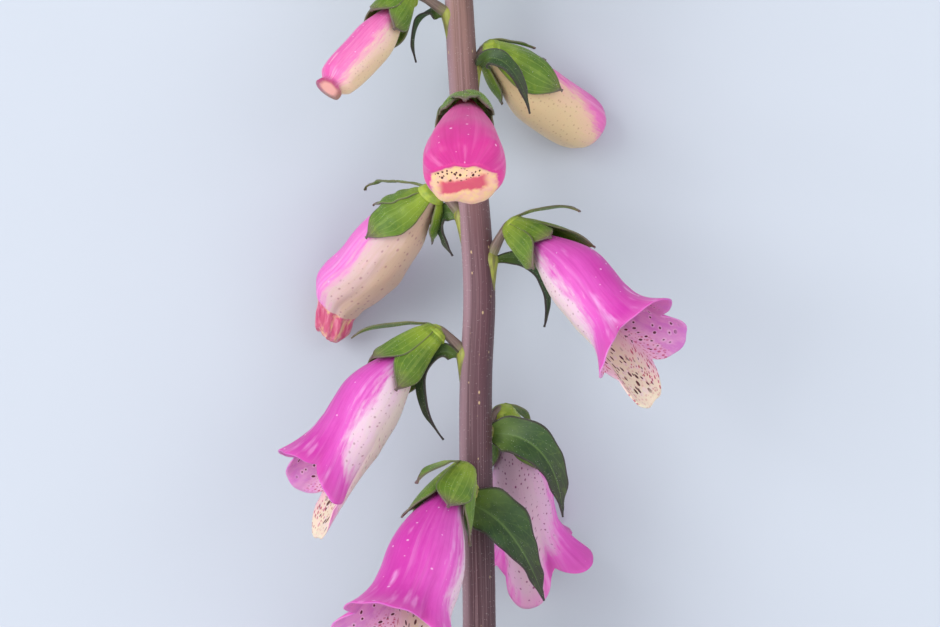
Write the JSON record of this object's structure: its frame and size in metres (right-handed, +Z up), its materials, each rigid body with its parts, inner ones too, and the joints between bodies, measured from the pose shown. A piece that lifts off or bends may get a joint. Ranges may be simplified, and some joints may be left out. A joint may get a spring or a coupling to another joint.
{
  "type": "foxglove flower spike",
  "caption": "Cut foxglove spike lying on its side: ribbed stem with spotted nodding bells, green calyces and bracts, and a tapering head of buds.",
  "frame": {"origin": "centre of the bounding box's underside, on the surface that the spike lies on", "axes": "+Y along the stem towards the tip of the spike, +Z up from the surface, +X to the side"},
  "size_m": [0.0952, 0.391, 0.0725],
  "materials": {
    "stem": "satin",
    "greens": "satin",
    "petals": "matte",
    "bud_petals": "matte",
    "stamens": "matte"
  },
  "bodies": {
    "root": {"stem": "stem", "calyx_01": "greens", "corolla_01": "bud_petals", "calyx_02": "greens", "corolla_02": "bud_petals", "calyx_03": "greens", "corolla_03": "petals", "calyx_04": "greens", "corolla_04": "petals", "calyx_05": "greens", "corolla_05": "petals", "stamens_05": "stamens", "calyx_06": "greens", "corolla_06": "petals", "stamens_06": "stamens", "calyx_07": "greens", "corolla_07": "petals", "stamens_07": "stamens", "calyx_08": "greens", "corolla_08": "petals", "stamens_08": "stamens", "calyx_09": "greens", "corolla_09": "petals", "stamens_09": "stamens", "calyx_10": "greens", "corolla_10": "petals", "stamens_10": "stamens", "calyx_11": "greens", "corolla_11": "petals", "stamens_11": "stamens", "calyx_bud_01": "greens", "corolla_bud_01": "bud_petals", "calyx_bud_02": "greens", "corolla_bud_02": "bud_petals", "calyx_bud_03": "greens", "corolla_bud_03": "bud_petals", "calyx_bud_04": "greens", "corolla_bud_04": "bud_petals", "bud_05": "greens", "bud_06": "greens", "bud_07": "greens", "bud_08": "greens", "bud_09": "greens", "leaf_1": "greens", "leaf_2": "greens", "bud_head": "greens"}
  },
  "joints": []
}
